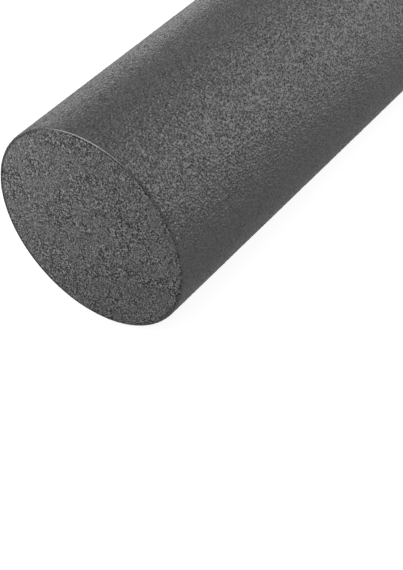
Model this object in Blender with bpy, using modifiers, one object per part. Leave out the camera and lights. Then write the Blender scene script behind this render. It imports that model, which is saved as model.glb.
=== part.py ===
"""Solid foam massage roller, lying on its side.

The roller is one foam log: round, the same from end to end, with flat ends and a
narrow rounding on the rim where the side turns into each end. It lies along X and
touches the floor, Z = 0, along a line under its axis. The origin is under its middle.
"""

import math

import bmesh
import bpy
from mathutils import Matrix

# Driving dimensions, in metres
ROLLER_LENGTH = 0.450
ROLLER_DIAMETER = 0.150
RIM_RADIUS = 0.0010

# How finely the round shapes are cut: flats around the side, a multiple of 4, and
# flats across each rim
SIDE_FLATS = 96
RIM_FLATS = 4

# Any edge that turns by more than this is left sharp when the faces are shaded
SHARP_ANGLE = math.radians(40)

# Dark grey foam: colour as seen on the side in plain light, with a satin skin
FOAM_COLOUR = (0.107, 0.107, 0.109, 1.0)
FOAM_ROUGHNESS = 0.55
FOAM_METALLIC = 0.0


def clear_scene():
    """Remove every object, so that the script starts from an empty scene."""
    for thing in list(bpy.data.objects):
        bpy.data.objects.remove(thing, do_unlink=True)


def make_collection(name):
    """Add a collection to the scene and return it."""
    collection = bpy.data.collections.new(name)
    bpy.context.scene.collection.children.link(collection)
    return collection


def foam_material():
    """Dark grey closed-cell foam with a satin skin."""
    material = bpy.data.materials.new("grey_foam")
    material.use_nodes = True
    shader = material.node_tree.nodes["Principled BSDF"]
    shader.inputs["Base Color"].default_value = FOAM_COLOUR
    shader.inputs["Roughness"].default_value = FOAM_ROUGHNESS
    shader.inputs["Metallic"].default_value = FOAM_METALLIC
    material.diffuse_color = FOAM_COLOUR
    return material


def log_mesh(length, diameter, flats):
    """A cylinder along Z whose flats, not its corners, lie on the stated diameter.

    It is turned by half a flat, so that flats face straight up, down and sideways:
    the roller then rests on a flat and is exactly its diameter high and wide.
    """
    half_step = math.pi / flats
    corner_radius = diameter / 2 / math.cos(half_step)
    log = bmesh.new()
    bmesh.ops.create_cone(
        log,
        cap_ends=True,
        segments=flats,
        radius1=corner_radius,
        radius2=corner_radius,
        depth=length,
        matrix=Matrix.Rotation(half_step, 4, "Z"),
    )
    mesh = bpy.data.meshes.new("foam_roller")
    log.to_mesh(mesh)
    log.free()
    return mesh


def round_rims(roller, radius, flats):
    """Round both rims; no other edge of the log turns enough to be bevelled."""
    bevel = roller.modifiers.new("rounded_rims", "BEVEL")
    bevel.width = radius
    bevel.segments = flats
    bevel.limit_method = "ANGLE"
    bevel.angle_limit = SHARP_ANGLE
    bevel.use_clamp_overlap = True


def make_foam_roller(collection):
    """The foam log, laid along X with its lowest flat on the floor."""
    mesh = log_mesh(ROLLER_LENGTH, ROLLER_DIAMETER, SIDE_FLATS)
    mesh.materials.append(foam_material())
    mesh.shade_smooth()
    mesh.set_sharp_from_angle(angle=SHARP_ANGLE)
    roller = bpy.data.objects.new("foam_roller", mesh)
    collection.objects.link(roller)
    roller.rotation_euler = (0.0, math.radians(90), 0.0)
    roller.location = (0.0, 0.0, ROLLER_DIAMETER / 2)
    round_rims(roller, RIM_RADIUS, RIM_FLATS)
    return roller


clear_scene()
make_foam_roller(make_collection("massage_roller"))
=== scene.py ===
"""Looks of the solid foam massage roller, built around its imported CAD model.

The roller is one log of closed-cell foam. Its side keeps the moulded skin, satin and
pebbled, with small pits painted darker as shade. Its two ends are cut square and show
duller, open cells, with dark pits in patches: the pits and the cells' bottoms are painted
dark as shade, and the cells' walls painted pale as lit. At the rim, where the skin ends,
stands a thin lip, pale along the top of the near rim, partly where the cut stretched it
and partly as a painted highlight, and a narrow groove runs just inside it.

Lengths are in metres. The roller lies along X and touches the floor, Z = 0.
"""

import math

import bpy
import numpy as np
from mathutils import Matrix, Vector


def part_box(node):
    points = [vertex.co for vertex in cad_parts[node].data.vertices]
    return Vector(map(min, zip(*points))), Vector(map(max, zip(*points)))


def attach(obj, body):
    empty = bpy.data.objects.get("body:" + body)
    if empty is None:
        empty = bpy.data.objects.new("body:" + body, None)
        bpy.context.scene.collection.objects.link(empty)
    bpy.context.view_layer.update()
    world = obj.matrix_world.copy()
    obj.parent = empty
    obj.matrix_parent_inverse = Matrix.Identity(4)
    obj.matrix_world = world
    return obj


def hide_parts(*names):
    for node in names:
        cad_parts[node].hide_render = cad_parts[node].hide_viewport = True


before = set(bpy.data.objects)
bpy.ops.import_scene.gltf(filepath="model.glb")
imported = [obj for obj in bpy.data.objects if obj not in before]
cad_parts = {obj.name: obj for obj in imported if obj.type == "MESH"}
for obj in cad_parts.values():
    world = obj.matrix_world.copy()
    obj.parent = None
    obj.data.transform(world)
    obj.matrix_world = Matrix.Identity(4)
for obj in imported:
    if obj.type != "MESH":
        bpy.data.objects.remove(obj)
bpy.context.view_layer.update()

MM = 0.001
WHITE = (1, 1, 1, 1)

# The roller's real sizes, read from its CAD solid
LOW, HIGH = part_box("foam_roller")
LENGTH = HIGH.x - LOW.x
RADIUS = (HIGH.z - LOW.z) / 2
AXIS_HEIGHT = (HIGH.z + LOW.z) / 2

# The rim: its rounding, and the lip and groove that the cut leaves round each end face.
# An inset is measured inwards from the side. The skin reaches in to the cut inset.
RIM_RADIUS = 1.0 * MM
CUT_INSET = 1.6 * MM
LIP_INSET = 0.55 * MM
LIP_WIDTH = 0.40 * MM
LIP_HEIGHT = 0.15 * MM
GROOVE_INSET = 1.9 * MM
GROOVE_WIDTH = 0.45 * MM
GROOVE_DEPTH = 0.70 * MM

# The pale line is partly the skin's own pallor where the cut stretched it and partly a painted
# highlight, where the top of the rim catches the light.
# The lip's pale line comes and goes round the rim with a slow noise: none below the first
# value, full above the second. The noise's spacing is picked so that the line runs along
# the top of the near rim, as in the photograph. On the lip, the line starts at the first
# share of the lip's height and is full from the second share up.
LIP_WANDER_SIZE = 103.5 * MM
LIP_WANDER_FROM, LIP_WANDER_TO = 0.60, 0.67
PALE_FROM, PALE_TO = 0.1, 0.6

# How finely the mesh is cut: squares across each end, steps along the side, rows round
# the rim, and closer rows for a short way on both sides of the rim
CAP_CELLS = 200
STEPS_AROUND = 4 * CAP_CELLS
SIDE_STEP = 0.75 * MM
RIM_ROWS = 6
FINE_STEP = 0.25 * MM
FINE_SIDE_STEP = 0.375 * MM
FINE_INSET = 5 * MM
FINE_SIDE = 6 * MM
BAKE_MARGIN = 3 * MM

# Relief that the mesh holds, as spacing and height: slow waves all over, the skin's
# pebbles, and the cut faces' cells
WAVE_SIZE, WAVE_HEIGHT = 28 * MM, 0.10 * MM
PEBBLE_SIZE, PEBBLE_HEIGHT = 1.6 * MM, 0.6 * MM
CELL_SIZE, CELL_HEIGHT = 2.2 * MM, 0.15 * MM
RELIEF_SEED = 63

# Every noise runs from 0 to 1 about this middle, plain or with finer layers added
NOISE_MIDDLE = 0.5
PLAIN, ONE_LAYER, THREE_LAYERS = 0.0, 1.0, 3.0

# Noise between these two values fades a calm patch of foam into a rough one
PATCH_LOW, PATCH_HIGH = 0.38, 0.62

# The moulded skin. The real grain is finer than the photograph can show, so it is drawn
# as coarse as it needs to show, and as steep as its flecks of light ask for. A pit is at
# its deepest up to the first share of the pits' spacing from its middle, and gone from the
# second. The index is above polyethylene's own 1.5, because the photograph's sheen is that
# strong on so dark a ground.
SKIN_GRAIN_SIZE, SKIN_GRAIN_HEIGHT = 1.6 * MM, 1.1 * MM
SKIN_PIT_SPACING, SKIN_PIT_DEPTH = 1.7 * MM, 0.8 * MM
SKIN_PIT_FLOOR, SKIN_PIT_REACH = 0.05, 0.45
SKIN_PATCH_SIZE = 6 * MM
SKIN_CALM_DEPTH, SKIN_ROUGH_DEPTH = 0.8, 1.0
SKIN_MOTTLE_SIZE = 14 * MM
SKIN_DARK, SKIN_LIGHT = "#2a2a2c", "#323234"
# painted shade: the pits are coloured darker than the skin, for the shade that falls in them
SKIN_PIT_SHADE = "#202022"
# partly stretched skin, partly a painted highlight on the rim's crest
SKIN_STRETCHED_AND_HIGHLIGHT = "#b4b4b6"
SKIN_ROUGHNESS = 0.16
SKIN_IOR = 1.8

# The cut cells, drawn coarser than real ones for the same reason. Their walls are painted
# pale as lit and their bottoms dark as shade. Their dark pits, painted shade where the blade
# tore cells open, are darkest up to the floor's share of the pits' spacing, and gone from
# the reach's share: small in a calm patch and wide in a rough one.
CUT_GRAIN_SIZE, CUT_GRAIN_HEIGHT = 1.05 * MM, 0.5 * MM
CUT_GRAIN_TWIST = 0.4
CUT_PATCH_SIZE = 11 * MM
CUT_CALM_SPREAD, CUT_ROUGH_SPREAD = 0.25, 0.06
CUT_PIT_SPACING = 2.4 * MM
CUT_PIT_FLOOR = 0.10
CUT_CALM_REACH, CUT_ROUGH_REACH = 0.12, 0.65
# painted light and shade: lit cell walls, and shaded cell bottoms and pits
CUT_PAINTED_SHADE, CUT_PAINTED_LIT = "#141415", "#929293"
CUT_PALE_SHARE = 1.6
CUT_ROUGHNESS = 0.6
CUT_IOR = 1.45

# Camera, measured from the photograph: place, line of sight, and lens on a 36 mm sensor
CAMERA_PLACE = Vector((-0.7264, -0.4506, 0.6776))
CAMERA_SIGHT = Vector((0.58162, 0.41992, -0.69673))
CAMERA_LENS = 89.145
CAMERA_SENSOR = 36.0
CAMERA_NEAREST = 0.01

# Softboxes, each with the direction it stands in, the way its width runs, its distance,
# width, height and radiance, and whether it shows in the gloss. The key makes the broad
# sheen along the side, and the back one lifts the top. The fill stands close to the near
# end face, on the picture's left, so the face is brighter on that side. It is kept out of
# the gloss, where it would burn a white streak into the skin round the back.
MIDDLE = Vector((0, 0, AXIS_HEIGHT))
NEAR_END = Vector((-LENGTH / 2, 0, AXIS_HEIGHT))
KEY = {"aim": MIDDLE, "towards": (0.58, -0.575, 0.580), "across": (0, 0.755, 0.656),
       "distance": 1.3, "wide": 1.3, "high": 1.2, "radiance": 1.6, "in_gloss": True}
BACK = {"aim": MIDDLE, "towards": (0.58, 0.21, 0.78), "across": (1, 0, 0),
        "distance": 1.6, "wide": 2.2, "high": 1.5, "radiance": 0.40, "in_gloss": True}
FILL = {"aim": NEAR_END, "towards": (-0.60, 0.66, 0.14), "across": (0.72, 0.60, 0),
        "distance": 0.28, "wide": 0.20, "high": 0.13, "radiance": 6.4, "in_gloss": False}

# The world: its even level; how high the white backdrop stands in the roller's gloss, as
# rises of the line of sight, and how far it is lifted there from the even level to white;
# and the dim room beside the camera, below the key softbox
WORLD_LEVEL = 0.55
WHITE_UP_TO, LEVEL_FROM = -0.12, 0.06
WHITE_SHARE = 0.55
ROOM_LEVEL = 0.05
ROOM_SIDE_FROM, ROOM_SIDE_TO = -0.5, -0.2
ROOM_UP_TO, ROOM_GONE_AT = 0.22, 0.32

# The floor: its half width, colour and roughness, its glow to the camera, and its glow in
# the roller's gloss, from near the roller, where it is dimmed as a painted shadow of the
# roller, to far off
FLOOR_HALF = 6.0
FLOOR_COLOUR = "#a8a8a8"
FLOOR_ROUGHNESS = 1.0
FLOOR_GLOW = 0.84
SHADOWED_NEAR_GLOW_IN_GLOSS, FAR_GLOW_IN_GLOSS = 0.17, 1.00
GLOW_FROM, GLOW_TO = 0.30, 0.55


def linear(hex_colour):
    """An sRGB hex colour as the linear colour that a shader socket takes."""
    parts = [int(hex_colour[i:i + 2], 16) / 255 for i in (1, 3, 5)]
    curve = [p / 12.92 if p <= 0.04045 else ((p + 0.055) / 1.055) ** 2.4 for p in parts]
    return (*curve, 1.0)


def add_node(tree, kind, settings=None, inputs=None):
    """Add a node. An input is a value, or another node's output that is linked to it."""
    made = tree.nodes.new(kind)
    for name, value in (settings or {}).items():
        setattr(made, name, value)
    for key, value in (inputs or {}).items():
        if isinstance(value, bpy.types.NodeSocket):
            tree.links.new(value, made.inputs[key])
        else:
            made.inputs[key].default_value = value
    return made


def end_rows():
    """The outline of one end, from the cut face over the rim to the side.

    Each row is a distance in from the end plane and a radius.
    """
    flat = RADIUS - RIM_RADIUS
    rows = [(0.0, r) for r in np.arange(RADIUS - FINE_INSET, flat - FINE_STEP / 2, FINE_STEP)]
    for turn in np.linspace(0, math.pi / 2, RIM_ROWS + 1):
        rows.append((RIM_RADIUS * (1 - math.cos(turn)), flat + RIM_RADIUS * math.sin(turn)))
    rows += [(x, RADIUS) for x in np.arange(RIM_RADIUS + FINE_STEP, FINE_SIDE, FINE_SIDE_STEP)]
    return rows


def outline():
    """The whole outline from the near cap's edge to the far cap's: x and radius of each row."""
    end = end_rows()
    plain = LENGTH / 2 - FINE_SIDE
    rows = [(-LENGTH / 2 + x, r) for x, r in end]
    rows += [(x, RADIUS) for x in np.linspace(-plain, plain, round(2 * plain / SIDE_STEP))]
    rows += [(LENGTH / 2 - x, r) for x, r in reversed(end)]
    return np.array(rows)


def disc_grid(radius):
    """A square grid pressed into a disc, whose edge points stand at equal angles.

    Returns the points across and up, their numbers in grid order, and the edge's numbers
    in order of angle.
    """
    line = np.linspace(-1, 1, CAP_CELLS + 1)
    a, b = np.meshgrid(line, line)
    wide = np.abs(a) > np.abs(b)
    safe_a = np.where(a == 0, 1, a)
    safe_b = np.where(b == 0, 1, b)
    reach = radius * np.where(wide, a, b)
    turn = np.where(wide, math.pi / 4 * b / safe_a, math.pi / 2 - math.pi / 4 * a / safe_b)
    number = np.arange((CAP_CELLS + 1) ** 2).reshape(CAP_CELLS + 1, CAP_CELLS + 1)
    edge = np.concatenate([number[:-1, -1], number[-1, :0:-1], number[:0:-1, 0], number[0, :-1]])
    return (reach * np.cos(turn)).ravel(), (reach * np.sin(turn)).ravel(), number, edge


def log_points(rows, across, up):
    """The points of the near cap, of the rings along the log, and of the far cap."""
    angle = -math.pi / 4 + np.arange(STEPS_AROUND) * 2 * math.pi / STEPS_AROUND
    x, radius = rows[1:-1, :1], rows[1:-1, 1:]
    ring_y, ring_z = radius * np.cos(angle), radius * np.sin(angle)
    rings = np.stack([np.broadcast_to(x, ring_y.shape), ring_y, ring_z], 2).reshape(-1, 3)
    near = np.stack([np.full(len(across), rows[0, 0]), across, up], 1)
    far = np.stack([np.full(len(across), rows[-1, 0]), across, up], 1)
    points = np.concatenate([near, rings, far])
    points[:, 2] += AXIS_HEIGHT
    return points


def log_faces(number, edge, ring_count):
    """The quads of the near cap, the side and the far cap, all facing outwards.

    Returns them with the cap's own quads in grid order.
    """
    cap = np.stack([number[:-1, :-1], number[:-1, 1:], number[1:, 1:], number[1:, :-1]], 2)
    cap = cap.reshape(-1, 4)
    first_far = number.size + ring_count * STEPS_AROUND
    rings = number.size + np.arange(ring_count * STEPS_AROUND).reshape(ring_count, STEPS_AROUND)
    loops = np.concatenate([edge[None], rings, first_far + edge[None]])
    here, there = loops[:-1], loops[1:]
    side = np.stack([here, np.roll(here, -1, 1), np.roll(there, -1, 1), there], 2).reshape(-1, 4)
    return np.concatenate([cap[:, ::-1], side, cap + first_far]), cap


def sheet_map(rows, across, up, cap):
    """The bake map on a square sheet: the side opened flat at the left, the caps at the right."""
    run = np.concatenate([[0], np.cumsum(np.hypot(*np.diff(rows, axis=0).T))])
    girth = 2 * math.pi * RADIUS
    cap_radius = rows[0, 1]
    sheet = run[-1] + 2 * cap_radius + 3 * BAKE_MARGIN
    left, turn = np.meshgrid(run[:-1], np.arange(STEPS_AROUND), indexing="ij")
    right = np.broadcast_to(run[1:, None], left.shape)
    this_v = girth * (1 - turn / STEPS_AROUND)
    next_v = girth * (1 - (turn + 1) / STEPS_AROUND)
    side_u = np.stack([left, left, right, right], 2).reshape(-1, 4) + BAKE_MARGIN
    side_v = np.stack([this_v, next_v, next_v, this_v], 2).reshape(-1, 4) + BAKE_MARGIN
    cap_u = run[-1] + 2 * BAKE_MARGIN + cap_radius
    near_v = BAKE_MARGIN + cap_radius
    far_v = 2 * BAKE_MARGIN + 3 * cap_radius
    u = np.concatenate([(cap_u - across)[cap[:, ::-1]], side_u, (cap_u + across)[cap]])
    v = np.concatenate([(near_v + up)[cap[:, ::-1]], side_v, (far_v + up)[cap]])
    return np.stack([u, v], 2).reshape(-1, 2) / sheet


def lip_height(radius):
    """How far the end face stands out at a radius: above 0 on the lip, below in the groove."""
    lip = np.exp(-((radius - (RADIUS - LIP_INSET)) / LIP_WIDTH) ** 2)
    groove = np.exp(-((radius - (RADIUS - GROOVE_INSET)) / GROOVE_WIDTH) ** 2)
    return lip * LIP_HEIGHT - groove * GROOVE_DEPTH


def log_mesh():
    """The plain log as one closed mesh, with its bake map and what the relief reads."""
    rows = outline()
    across, up, number, edge = disc_grid(rows[0, 1])
    points = log_points(rows, across, up)
    faces, cap = log_faces(number, edge, len(rows) - 2)

    mesh = bpy.data.meshes.new("foam_log")
    mesh.vertices.add(len(points))
    mesh.vertices.foreach_set("co", points.astype(np.float32).ravel())
    mesh.loops.add(faces.size)
    mesh.loops.foreach_set("vertex_index", faces.astype(np.int32).ravel())
    mesh.polygons.add(len(faces))
    mesh.polygons.foreach_set("loop_start", np.arange(len(faces), dtype=np.int32) * 4)
    mesh.polygons.foreach_set("use_smooth", np.ones(len(faces), bool))
    mesh.update(calc_edges=True)
    bake_map = sheet_map(rows, across, up, cap).astype(np.float32)
    mesh.uv_layers.new(name="OFBake").uv.foreach_set("vector", bake_map.ravel())

    # the lip and groove stand on the end faces alone, and the cut cells end at the groove
    end_begins = LENGTH / 2 - RIM_RADIUS / 2
    point_radius = np.hypot(points[:, 1], points[:, 2] - AXIS_HEIGHT)
    lip = np.where(np.abs(points[:, 0]) > end_begins, lip_height(point_radius), 0.0)
    mesh.attributes.new("lip", "FLOAT", "POINT").data.foreach_set("value", lip.astype(np.float32))
    middle = points[faces].mean(1)
    face_radius = np.hypot(middle[:, 1], middle[:, 2] - AXIS_HEIGHT)
    cut_face = (np.abs(middle[:, 0]) > end_begins) & (face_radius < RADIUS - CUT_INSET)
    mesh.attributes.new("cut_face", "BOOLEAN", "FACE").data.foreach_set("value", cut_face)
    mesh.validate()
    return mesh


def relief_tree(skin, cut):
    """Geometry Nodes that press the waves, pebbles, cells, lip and groove into the log."""
    tree = bpy.data.node_groups.new("foam_relief", "GeometryNodeTree")
    sizes = {
        "Wave Size": WAVE_SIZE, "Wave Height": WAVE_HEIGHT,
        "Pebble Size": PEBBLE_SIZE, "Pebble Height": PEBBLE_HEIGHT,
        "Cell Size": CELL_SIZE, "Cell Height": CELL_HEIGHT,
        "Wander Size": LIP_WANDER_SIZE, "Seed": RELIEF_SEED,
    }
    tree.interface.new_socket("Geometry", in_out="INPUT", socket_type="NodeSocketGeometry")
    for name in sizes:
        tree.interface.new_socket(name, in_out="INPUT", socket_type="NodeSocketFloat")
    tree.interface.new_socket("Geometry", in_out="OUTPUT", socket_type="NodeSocketGeometry")

    given = add_node(tree, "NodeGroupInput").outputs
    position = add_node(tree, "GeometryNodeInputPosition").outputs[0]
    normal = add_node(tree, "GeometryNodeInputNormal").outputs[0]

    # four smooth noises between 0 and 1, each at its own spacing
    noise = {}
    for name in ("Wave", "Pebble", "Cell", "Wander"):
        scale = add_node(tree, "ShaderNodeMath", {"operation": "DIVIDE"}, {
            0: 1.0, 1: given[name + " Size"]})
        noise[name] = add_node(tree, "ShaderNodeTexNoise", {"noise_dimensions": "4D"}, {
            "Vector": position, "W": given["Seed"],
            "Scale": scale.outputs[0], "Detail": PLAIN}).outputs[0]

    # the first three turn into heights above and below the plain log
    height = {}
    for name in ("Wave", "Pebble", "Cell"):
        centred = add_node(tree, "ShaderNodeMath", {"operation": "SUBTRACT"}, {
            0: noise[name], 1: NOISE_MIDDLE})
        height[name] = add_node(tree, "ShaderNodeMath", {"operation": "MULTIPLY"}, {
            0: centred.outputs[0], 1: given[name + " Height"]}).outputs[0]

    # pebbles on the side, cells on the ends, and one fading into the other round the rim
    facing = add_node(tree, "ShaderNodeSeparateXYZ", inputs={0: normal}).outputs["X"]
    endwise = add_node(tree, "ShaderNodeMath", {"operation": "ABSOLUTE"}, {0: facing}).outputs[0]
    grain = add_node(tree, "ShaderNodeMix", {"data_type": "FLOAT"}, {
        0: endwise, 2: height["Pebble"], 3: height["Cell"]}).outputs[0]
    relief = add_node(tree, "ShaderNodeMath", {"operation": "ADD"}, {
        0: grain, 1: height["Wave"]}).outputs[0]
    raised = add_node(tree, "ShaderNodeVectorMath", {"operation": "SCALE"}, {
        0: normal, "Scale": relief})

    # the lip and groove stand along the roller's axis, outwards at each end
    lip = add_node(tree, "GeometryNodeInputNamedAttribute", {"data_type": "FLOAT"}, {
        "Name": "lip"}).outputs[0]
    along = add_node(tree, "ShaderNodeSeparateXYZ", inputs={0: position}).outputs["X"]
    outward = add_node(tree, "ShaderNodeMath", {"operation": "SIGN"}, {0: along}).outputs[0]
    shift = add_node(tree, "ShaderNodeMath", {"operation": "MULTIPLY"}, {
        0: lip, 1: outward}).outputs[0]
    lipped = add_node(tree, "ShaderNodeCombineXYZ", inputs={"X": shift})
    offset = add_node(tree, "ShaderNodeVectorMath", {"operation": "ADD"}, {
        0: raised.outputs[0], 1: lipped.outputs[0]})

    # the floor presses flat what would stand below it
    free = add_node(tree, "ShaderNodeVectorMath", {"operation": "ADD"}, {
        0: position, 1: offset.outputs[0]})
    place = add_node(tree, "ShaderNodeSeparateXYZ", inputs={0: free.outputs[0]}).outputs
    level = add_node(tree, "ShaderNodeMath", {"operation": "MAXIMUM"}, {
        0: place["Z"], 1: 0.0}).outputs[0]
    pressed = add_node(tree, "ShaderNodeCombineXYZ", inputs={
        "X": place["X"], "Y": place["Y"], "Z": level})
    moved = add_node(tree, "GeometryNodeSetPosition", inputs={
        "Geometry": given["Geometry"], "Position": pressed.outputs[0]})

    # the lip's crest is pale where the wandering noise is strong: partly stretched skin, partly a
    # painted highlight
    strength = add_node(tree, "ShaderNodeMapRange", inputs={
        "Value": noise["Wander"], "From Min": LIP_WANDER_FROM,
        "From Max": LIP_WANDER_TO}).outputs[0]
    crest = add_node(tree, "ShaderNodeMapRange", inputs={
        "Value": lip, "From Min": LIP_HEIGHT * PALE_FROM,
        "From Max": LIP_HEIGHT * PALE_TO}).outputs[0]
    pale = add_node(tree, "ShaderNodeMath", {"operation": "MULTIPLY"}, {
        0: crest, 1: strength}).outputs[0]
    marked = add_node(
        tree, "GeometryNodeStoreNamedAttribute", {"domain": "POINT", "data_type": "FLOAT"},
        {"Geometry": moved.outputs[0], "Name": "pale_lip_and_highlight", "Value": pale})

    whole = add_node(tree, "GeometryNodeRealizeInstances", inputs={"Geometry": marked.outputs[0]})
    skinned = add_node(tree, "GeometryNodeSetMaterial", inputs={
        "Geometry": whole.outputs[0], "Material": skin})
    cut_face = add_node(tree, "GeometryNodeInputNamedAttribute", {"data_type": "BOOLEAN"}, {
        "Name": "cut_face"})
    ended = add_node(tree, "GeometryNodeSetMaterial", inputs={
        "Geometry": skinned.outputs[0], "Selection": cut_face.outputs[0], "Material": cut})
    add_node(tree, "NodeGroupOutput", inputs={0: ended.outputs[0]})
    return tree, sizes


def make_roller(skin, cut):
    """The dressed roller: the log with its relief, as one plain mesh."""
    plain = bpy.data.objects.new("plain_log", log_mesh())
    bpy.context.scene.collection.objects.link(plain)
    tree, sizes = relief_tree(skin, cut)
    relief = plain.modifiers.new("foam_relief", "NODES")
    relief.node_group = tree
    for item in tree.interface.items_tree:
        if item.item_type == "SOCKET" and item.in_out == "INPUT" and item.name in sizes:
            relief[item.identifier] = sizes[item.name]
    graph = bpy.context.evaluated_depsgraph_get()
    mesh = bpy.data.meshes.new_from_object(
        plain.evaluated_get(graph), preserve_all_data_layers=True, depsgraph=graph)
    plain.modifiers.remove(relief)
    bpy.data.objects.remove(plain)
    mesh.name = "roller_foam"
    roller = bpy.data.objects.new("roller_foam", mesh)
    bpy.context.scene.collection.objects.link(roller)
    return roller


def moulded_skin():
    """Closed-cell polyethylene foam, with the skin that its warm mould left on it.

    To the eye it is dark grey and satin: each pebble catches the light on its own, so the
    softbox breaks up into fine flecks, with small pits between them that are painted dark as
    shade.
    """
    material = bpy.data.materials.new("moulded_foam_skin")
    material.use_nodes = True
    tree = material.node_tree
    shader = tree.nodes["Principled BSDF"]
    place = add_node(tree, "ShaderNodeTexCoord").outputs["Object"]

    # grain and pits make one height in metres, deeper in rough patches than in calm ones
    grain = add_node(tree, "ShaderNodeTexNoise", inputs={
        "Vector": place, "Scale": 1 / SKIN_GRAIN_SIZE, "Detail": PLAIN}).outputs[0]
    pit_distance = add_node(tree, "ShaderNodeTexVoronoi", inputs={
        "Vector": place, "Scale": 1 / SKIN_PIT_SPACING}).outputs["Distance"]
    out_of_pit = add_node(tree, "ShaderNodeMapRange", {"interpolation_type": "SMOOTHSTEP"}, {
        "Value": pit_distance, "From Min": SKIN_PIT_FLOOR, "From Max": SKIN_PIT_REACH}).outputs[0]
    pit_height = add_node(tree, "ShaderNodeMath", {"operation": "MULTIPLY"}, {
        0: out_of_pit, 1: SKIN_PIT_DEPTH}).outputs[0]
    height = add_node(tree, "ShaderNodeMath", {"operation": "MULTIPLY_ADD"}, {
        0: grain, 1: SKIN_GRAIN_HEIGHT, 2: pit_height}).outputs[0]
    patch = add_node(tree, "ShaderNodeTexNoise", inputs={
        "Vector": place, "Scale": 1 / SKIN_PATCH_SIZE, "Detail": ONE_LAYER}).outputs[0]
    depth = add_node(tree, "ShaderNodeMapRange", inputs={
        "Value": patch, "From Min": PATCH_LOW, "From Max": PATCH_HIGH,
        "To Min": SKIN_CALM_DEPTH, "To Max": SKIN_ROUGH_DEPTH}).outputs[0]
    bump = add_node(tree, "ShaderNodeBump", inputs={
        "Strength": depth, "Distance": 1.0, "Height": height})
    tree.links.new(bump.outputs[0], shader.inputs["Normal"])

    # the colour drifts a little, takes painted shade in the pits, and pales on the lip, partly as
    # stretched skin and partly as a painted highlight
    mottle = add_node(tree, "ShaderNodeTexNoise", inputs={
        "Vector": place, "Scale": 1 / SKIN_MOTTLE_SIZE, "Detail": THREE_LAYERS}).outputs[0]
    ground = add_node(tree, "ShaderNodeMix", {"data_type": "RGBA"}, {
        0: mottle, 6: linear(SKIN_DARK), 7: linear(SKIN_LIGHT)}).outputs[2]
    pit_shaded = add_node(tree, "ShaderNodeMix", {"data_type": "RGBA"}, {
        0: out_of_pit, 6: linear(SKIN_PIT_SHADE), 7: ground}).outputs[2]
    pale_lip_and_highlight = add_node(tree, "ShaderNodeAttribute", {"attribute_name": "pale_lip_and_highlight"}).outputs["Fac"]
    colour = add_node(tree, "ShaderNodeMix", {"data_type": "RGBA"}, {
        0: pale_lip_and_highlight, 6: pit_shaded, 7: linear(SKIN_STRETCHED_AND_HIGHLIGHT)}).outputs[2]
    tree.links.new(colour, shader.inputs["Base Color"])
    shader.inputs["Roughness"].default_value = SKIN_ROUGHNESS
    shader.inputs["IOR"].default_value = SKIN_IOR
    return material


def cut_cells():
    """The same foam, cut square across.

    To the eye it is duller than the skin and salt-and-pepper grey: the blade opened small
    cells, whose torn walls are painted pale as lit and whose bottoms are painted dark as shade.
    """
    material = bpy.data.materials.new("cut_foam_cells")
    material.use_nodes = True
    tree = material.node_tree
    shader = tree.nodes["Principled BSDF"]
    place = add_node(tree, "ShaderNodeTexCoord").outputs["Object"]
    grain = add_node(tree, "ShaderNodeTexNoise", inputs={
        "Vector": place, "Scale": 1 / CUT_GRAIN_SIZE, "Detail": ONE_LAYER,
        "Distortion": CUT_GRAIN_TWIST}).outputs[0]
    height = add_node(tree, "ShaderNodeMath", {"operation": "MULTIPLY"}, {
        0: grain, 1: CUT_GRAIN_HEIGHT}).outputs[0]
    bump = add_node(tree, "ShaderNodeBump", inputs={
        "Strength": 1.0, "Distance": 1.0, "Height": height})
    tree.links.new(bump.outputs[0], shader.inputs["Normal"])

    # the same grain parts walls painted pale as lit from bottoms painted dark as shade, more
    # sharply in rough patches
    patch = add_node(tree, "ShaderNodeTexNoise", inputs={
        "Vector": place, "Scale": 1 / CUT_PATCH_SIZE, "Detail": ONE_LAYER}).outputs[0]
    spread = add_node(tree, "ShaderNodeMapRange", inputs={
        "Value": patch, "From Min": PATCH_LOW, "From Max": PATCH_HIGH,
        "To Min": CUT_CALM_SPREAD, "To Max": CUT_ROUGH_SPREAD}).outputs[0]
    darkest = add_node(tree, "ShaderNodeMath", {"operation": "SUBTRACT"}, {
        0: NOISE_MIDDLE, 1: spread}).outputs[0]
    palest = add_node(tree, "ShaderNodeMath", {"operation": "ADD"}, {
        0: NOISE_MIDDLE, 1: spread}).outputs[0]
    lit_wall = add_node(tree, "ShaderNodeMapRange", inputs={
        "Value": grain, "From Min": darkest, "From Max": palest}).outputs[0]
    pale = add_node(tree, "ShaderNodeMath", {"operation": "POWER"}, {
        0: lit_wall, 1: CUT_PALE_SHARE}).outputs[0]

    # open cells are pits painted dark as shade, wider in rough patches than in calm ones
    pit_distance = add_node(tree, "ShaderNodeTexVoronoi", inputs={
        "Vector": place, "Scale": 1 / CUT_PIT_SPACING}).outputs["Distance"]
    reach = add_node(tree, "ShaderNodeMapRange", inputs={
        "Value": patch, "From Min": PATCH_LOW, "From Max": PATCH_HIGH,
        "To Min": CUT_CALM_REACH, "To Max": CUT_ROUGH_REACH}).outputs[0]
    out_of_pit = add_node(tree, "ShaderNodeMapRange", inputs={
        "Value": pit_distance, "From Min": CUT_PIT_FLOOR, "From Max": reach}).outputs[0]
    pit_shaded = add_node(tree, "ShaderNodeMath", {"operation": "MULTIPLY"}, {
        0: pale, 1: out_of_pit}).outputs[0]
    colour = add_node(tree, "ShaderNodeMix", {"data_type": "RGBA"}, {
        0: pit_shaded, 6: linear(CUT_PAINTED_SHADE), 7: linear(CUT_PAINTED_LIT)}).outputs[2]
    tree.links.new(colour, shader.inputs["Base Color"])
    shader.inputs["Roughness"].default_value = CUT_ROUGHNESS
    shader.inputs["IOR"].default_value = CUT_IOR
    return material


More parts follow.
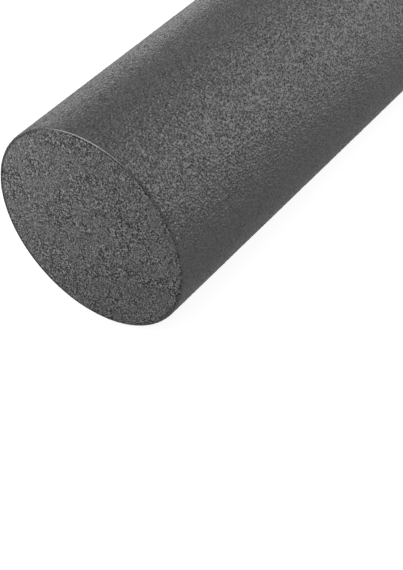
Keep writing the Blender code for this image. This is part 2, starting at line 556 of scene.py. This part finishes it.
def make_floor():
    """A plain white floor that keeps the roller's shadow.

    It glows for the rays that see it, like a table that sweeps up to a white backdrop:
    white to the camera, and in the roller's gloss white far off and dim near by, as a painted
    shadow of the roller in its reflection.
    """
    material = bpy.data.materials.new("white_floor")
    material.use_nodes = True
    tree = material.node_tree
    shader = tree.nodes["Principled BSDF"]
    shader.inputs["Base Color"].default_value = linear(FLOOR_COLOUR)
    shader.inputs["Roughness"].default_value = FLOOR_ROUGHNESS
    shader.inputs["Specular IOR Level"].default_value = 0.0
    shader.inputs["Emission Color"].default_value = WHITE
    ray = add_node(tree, "ShaderNodeLightPath").outputs
    place = add_node(tree, "ShaderNodeTexCoord").outputs["Object"]
    away = add_node(tree, "ShaderNodeVectorMath", {"operation": "LENGTH"}, {
        0: place}).outputs["Value"]
    in_gloss = add_node(tree, "ShaderNodeMapRange", {"interpolation_type": "SMOOTHSTEP"}, {
        "Value": away, "From Min": GLOW_FROM, "From Max": GLOW_TO,
        "To Min": SHADOWED_NEAR_GLOW_IN_GLOSS, "To Max": FAR_GLOW_IN_GLOSS}).outputs[0]
    gloss = add_node(tree, "ShaderNodeMath", {"operation": "MULTIPLY"}, {
        0: ray["Is Glossy Ray"], 1: in_gloss}).outputs[0]
    seen = add_node(tree, "ShaderNodeMath", {"operation": "MAXIMUM"}, {
        0: ray["Is Camera Ray"], 1: ray["Is Transmission Ray"]}).outputs[0]
    glow = add_node(tree, "ShaderNodeMath", {"operation": "MULTIPLY_ADD"}, {
        0: seen, 1: FLOOR_GLOW, 2: gloss}).outputs[0]
    tree.links.new(glow, shader.inputs["Emission Strength"])

    corners = [(-FLOOR_HALF, -FLOOR_HALF, 0), (FLOOR_HALF, -FLOOR_HALF, 0),
               (FLOOR_HALF, FLOOR_HALF, 0), (-FLOOR_HALF, FLOOR_HALF, 0)]
    mesh = bpy.data.meshes.new("floor")
    mesh.from_pydata(corners, [], [(0, 1, 2, 3)])
    mesh.materials.append(material)
    floor = bpy.data.objects.new("floor", mesh)
    bpy.context.scene.collection.objects.link(floor)


def make_world():
    """Even light from all round, and a white backdrop for the rays that see it.

    The camera sees white everywhere. The roller's gloss sees a paler strip low down,
    where the backdrop stands, the even level above it, and a dim room beside the camera.
    """
    world = bpy.data.worlds.new("white_studio")
    bpy.context.scene.world = world
    world.use_nodes = True
    tree = world.node_tree
    background = tree.nodes["Background"]
    ray = add_node(tree, "ShaderNodeLightPath").outputs
    direction = add_node(tree, "ShaderNodeTexCoord").outputs["Generated"]
    toward = add_node(tree, "ShaderNodeSeparateXYZ", inputs={0: direction}).outputs

    low = add_node(tree, "ShaderNodeMapRange", {"interpolation_type": "SMOOTHSTEP"}, {
        "Value": toward["Z"], "From Min": WHITE_UP_TO, "From Max": LEVEL_FROM,
        "To Min": WHITE_SHARE, "To Max": 0.0}).outputs[0]
    gloss = add_node(tree, "ShaderNodeMath", {"operation": "MULTIPLY"}, {
        0: ray["Is Glossy Ray"], 1: low}).outputs[0]
    seen = add_node(tree, "ShaderNodeMath", {"operation": "MAXIMUM"}, {
        0: ray["Is Camera Ray"], 1: ray["Is Transmission Ray"]}).outputs[0]
    white = add_node(tree, "ShaderNodeMath", {"operation": "MAXIMUM"}, {
        0: seen, 1: gloss}).outputs[0]
    even = add_node(tree, "ShaderNodeMapRange", inputs={
        "Value": white, "To Min": WORLD_LEVEL, "To Max": 1.0}).outputs[0]

    beside = add_node(tree, "ShaderNodeMapRange", {"interpolation_type": "SMOOTHSTEP"}, {
        "Value": toward["Y"], "From Min": ROOM_SIDE_FROM, "From Max": ROOM_SIDE_TO,
        "To Min": 1.0, "To Max": 0.0}).outputs[0]
    under_key = add_node(tree, "ShaderNodeMapRange", {"interpolation_type": "SMOOTHSTEP"}, {
        "Value": toward["Z"], "From Min": ROOM_UP_TO, "From Max": ROOM_GONE_AT,
        "To Min": 1.0, "To Max": 0.0}).outputs[0]
    room = add_node(tree, "ShaderNodeMath", {"operation": "MULTIPLY"}, {
        0: beside, 1: under_key}).outputs[0]
    room_in_gloss = add_node(tree, "ShaderNodeMath", {"operation": "MULTIPLY"}, {
        0: room, 1: ray["Is Glossy Ray"]}).outputs[0]
    level = add_node(tree, "ShaderNodeMix", {"data_type": "FLOAT"}, {
        0: room_in_gloss, 2: even, 3: ROOM_LEVEL}).outputs[0]
    background.inputs["Color"].default_value = WHITE
    tree.links.new(level, background.inputs["Strength"])


def turned(back, across):
    """A turn that points Z along back, so that -Z looks the other way, and X along across."""
    z = Vector(back).normalized()
    x = Vector(across)
    x = (x - x.dot(z) * z).normalized()
    return Matrix((x, z.cross(x), z)).transposed().to_4x4()


def make_softbox(name, aim, towards, across, distance, wide, high, radiance, in_gloss):
    """A rectangular softbox of even brightness, facing the point that it is aimed at.

    Its power is what gives a flat panel of that size its radiance.
    """
    light = bpy.data.lights.new(name, "AREA")
    light.shape = "RECTANGLE"
    light.size = wide
    light.size_y = high
    light.energy = radiance * math.pi * wide * high
    box = bpy.data.objects.new(name, light)
    bpy.context.scene.collection.objects.link(box)
    place = aim + Vector(towards).normalized() * distance
    box.matrix_world = Matrix.Translation(place) @ turned(towards, across)
    box.visible_camera = False
    box.visible_glossy = in_gloss


def make_camera():
    """The photograph's camera."""
    lens = bpy.data.cameras.new("camera")
    lens.sensor_width = CAMERA_SENSOR
    lens.lens = CAMERA_LENS
    lens.clip_start = CAMERA_NEAREST
    camera = bpy.data.objects.new("camera", lens)
    bpy.context.scene.collection.objects.link(camera)
    level = CAMERA_SIGHT.cross(Vector((0, 0, 1)))
    camera.matrix_world = Matrix.Translation(CAMERA_PLACE) @ turned(-CAMERA_SIGHT, level)
    bpy.context.scene.camera = camera


bpy.context.scene.view_settings.view_transform = "Standard"
make_camera()
make_world()
make_floor()
make_softbox("key_softbox", **KEY)
make_softbox("back_softbox", **BACK)
make_softbox("fill_softbox", **FILL)

roller = make_roller(moulded_skin(), cut_cells())
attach(roller, "root")
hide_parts("foam_roller")
